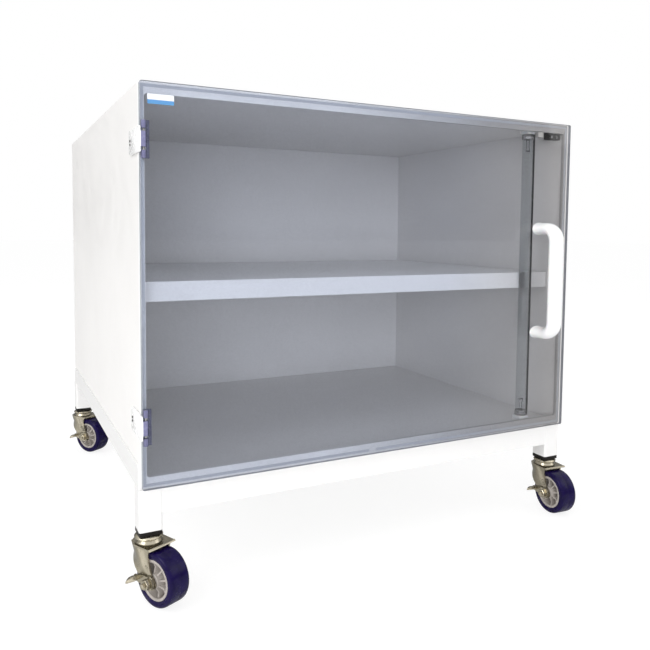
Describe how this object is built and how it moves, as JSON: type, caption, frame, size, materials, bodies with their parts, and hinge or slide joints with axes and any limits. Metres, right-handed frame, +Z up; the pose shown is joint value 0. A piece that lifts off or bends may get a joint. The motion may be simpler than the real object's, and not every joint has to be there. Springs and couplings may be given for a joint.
{
  "type": "uv sterilizer cabinet",
  "caption": "White sheet cabinet with a smoked full-width hinged door, inner shelf and germicidal tube, on a welded tube base with braked swivel casters.",
  "frame": {"origin": "on the floor under the middle of the overall footprint, which includes the handle, hinges and wheels", "axes": "+Z up; the door faces -Y; +X is to the right seen from the front"},
  "size_m": [0.8086, 0.8162, 0.703],
  "materials": {
    "white_sheet": "satin white sheet",
    "white_enamel": "gloss white powder coat",
    "smoked_sheet": "smoked clear, polished",
    "white_moulded": "gloss white moulded plastic",
    "smoked_moulded": "smoked translucent moulded plastic",
    "plate_white": "printed film, white over a blue band",
    "seal_white": "soft white foam strip",
    "black_plastic": "matt black moulded plastic",
    "grey_plastic": "matt light grey",
    "tube_glass": "clear quartz tube with metal end caps",
    "cable_black": "satin black cable sheath",
    "ballast_steel": "plain steel case",
    "bright_steel": "bright zinc",
    "zinc_yellow": "yellow-passivated zinc, glossy pressed steel",
    "navy_tread": "glossy dark navy polyurethane"
  },
  "bodies": {
    "cabinet": {"left_side_panel": "white_sheet", "right_side_panel": "white_sheet", "top_panel": "white_sheet", "floor_panel": "white_sheet", "chamber_back_panel": "white_sheet", "rear_panel": "white_sheet", "face_frame": "white_sheet", "shelf": "white_sheet", "shelf_ledge": "white_sheet", "lamp_tube": "tube_glass", "lamp_holder_lower": "white_moulded", "lamp_holder_upper": "white_moulded", "lamp_cable": "cable_black", "lamp_ballast": "ballast_steel", "power_inlet": "black_plastic", "door_seal_left": "seal_white", "door_seal_right": "seal_white", "upper_hinge_side_leaf": "white_moulded", "lower_hinge_side_leaf": "white_moulded", "upper_hinge_pin": "bright_steel", "lower_hinge_pin": "bright_steel", "door_switch": "black_plastic", "base_frame": "white_enamel", "leg_plug_front_left": "black_plastic", "caster_stem_front_left": "zinc_yellow", "leg_plug_front_right": "black_plastic", "caster_stem_front_right": "zinc_yellow", "leg_plug_rear_left": "black_plastic", "caster_stem_rear_left": "zinc_yellow", "leg_plug_rear_right": "black_plastic", "caster_stem_rear_right": "zinc_yellow"},
    "door": {"door_panel": "smoked_sheet", "door_handle": "white_moulded", "handle_screw_lower": "bright_steel", "handle_screw_upper": "bright_steel", "name_plate": "plate_white", "upper_hinge_door_leaf": "smoked_moulded", "lower_hinge_door_leaf": "smoked_moulded", "door_magnet": "grey_plastic"},
    "rocker": {"power_rocker": "black_plastic"},
    "caster_front_left": {"caster_fork_front_left": "zinc_yellow", "caster_axle_front_left": "bright_steel"},
    "wheel_front_left": {"wheel_hub_front_left": "grey_plastic", "wheel_tread_front_left": "navy_tread"},
    "brake_front_left": {"brake_lever_front_left": "zinc_yellow"},
    "caster_front_right": {"caster_fork_front_right": "zinc_yellow", "caster_axle_front_right": "bright_steel"},
    "wheel_front_right": {"wheel_hub_front_right": "grey_plastic", "wheel_tread_front_right": "navy_tread"},
    "brake_front_right": {"brake_lever_front_right": "zinc_yellow"},
    "caster_rear_left": {"caster_fork_rear_left": "zinc_yellow", "caster_axle_rear_left": "bright_steel"},
    "wheel_rear_left": {"wheel_hub_rear_left": "grey_plastic", "wheel_tread_rear_left": "navy_tread"},
    "brake_rear_left": {"brake_lever_rear_left": "zinc_yellow"},
    "caster_rear_right": {"caster_fork_rear_right": "zinc_yellow", "caster_axle_rear_right": "bright_steel"},
    "wheel_rear_right": {"wheel_hub_rear_right": "grey_plastic", "wheel_tread_rear_right": "navy_tread"},
    "brake_rear_right": {"brake_lever_rear_right": "zinc_yellow"}
  },
  "joints": [
    {"name": "door_hinge", "type": "hinge", "parent": "cabinet", "child": "door", "pos_m": [-0.37623, -0.36105, 0.4315], "axis": [0, 0, -1], "range_deg": [0, 110]},
    {"name": "rocker_tilt", "type": "hinge", "parent": "cabinet", "child": "rocker", "pos_m": [0.29977, 0.40245, 0.241], "axis": [1, 0, 0], "range_deg": [0, 16]},
    {"name": "swivel_front_left", "type": "hinge", "parent": "cabinet", "child": "caster_front_left", "pos_m": [-0.36723, -0.33105, 0.084], "axis": [0, 0, 1], "continuous": true},
    {"name": "wheel_spin_front_left", "type": "hinge", "parent": "caster_front_left", "child": "wheel_front_left", "pos_m": [-0.35408, -0.35801, 0.0375], "axis": [0.8988, 0.4384, 0], "continuous": true},
    {"name": "brake_press_front_left", "type": "hinge", "parent": "caster_front_left", "child": "brake_front_left", "pos_m": [-0.35408, -0.35801, 0.0375], "axis": [-0.8988, -0.4384, 0], "range_deg": [0, 28]},
    {"name": "swivel_front_right", "type": "hinge", "parent": "cabinet", "child": "caster_front_right", "pos_m": [0.36677, -0.33105, 0.084], "axis": [0, 0, 1], "continuous": true},
    {"name": "wheel_spin_front_right", "type": "hinge", "parent": "caster_front_right", "child": "wheel_front_right", "pos_m": [0.36467, -0.36098, 0.0375], "axis": [0.9976, -0.0698, 0], "continuous": true},
    {"name": "brake_press_front_right", "type": "hinge", "parent": "caster_front_right", "child": "brake_front_right", "pos_m": [0.36467, -0.36098, 0.0375], "axis": [-0.9976, 0.0698, 0], "range_deg": [0, 28]},
    {"name": "swivel_rear_left", "type": "hinge", "parent": "cabinet", "child": "caster_rear_left", "pos_m": [-0.36723, 0.37695, 0.084], "axis": [0, 0, 1], "continuous": true},
    {"name": "wheel_spin_rear_left", "type": "hinge", "parent": "caster_rear_left", "child": "wheel_rear_left", "pos_m": [-0.35046, 0.35208, 0.0375], "axis": [0.829, 0.5592, 0], "continuous": true},
    {"name": "brake_press_rear_left", "type": "hinge", "parent": "caster_rear_left", "child": "brake_rear_left", "pos_m": [-0.35046, 0.35208, 0.0375], "axis": [-0.829, -0.5592, 0], "range_deg": [0, 28]},
    {"name": "swivel_rear_right", "type": "hinge", "parent": "cabinet", "child": "caster_rear_right", "pos_m": [0.36677, 0.37695, 0.084], "axis": [0, 0, 1], "continuous": true},
    {"name": "wheel_spin_rear_right", "type": "hinge", "parent": "caster_rear_right", "child": "wheel_rear_right", "pos_m": [0.37703, 0.34876, 0.0375], "axis": [0.9397, 0.342, 0], "continuous": true},
    {"name": "brake_press_rear_right", "type": "hinge", "parent": "caster_rear_right", "child": "brake_rear_right", "pos_m": [0.37703, 0.34876, 0.0375], "axis": [-0.9397, -0.342, 0], "range_deg": [0, 28]}
  ]
}
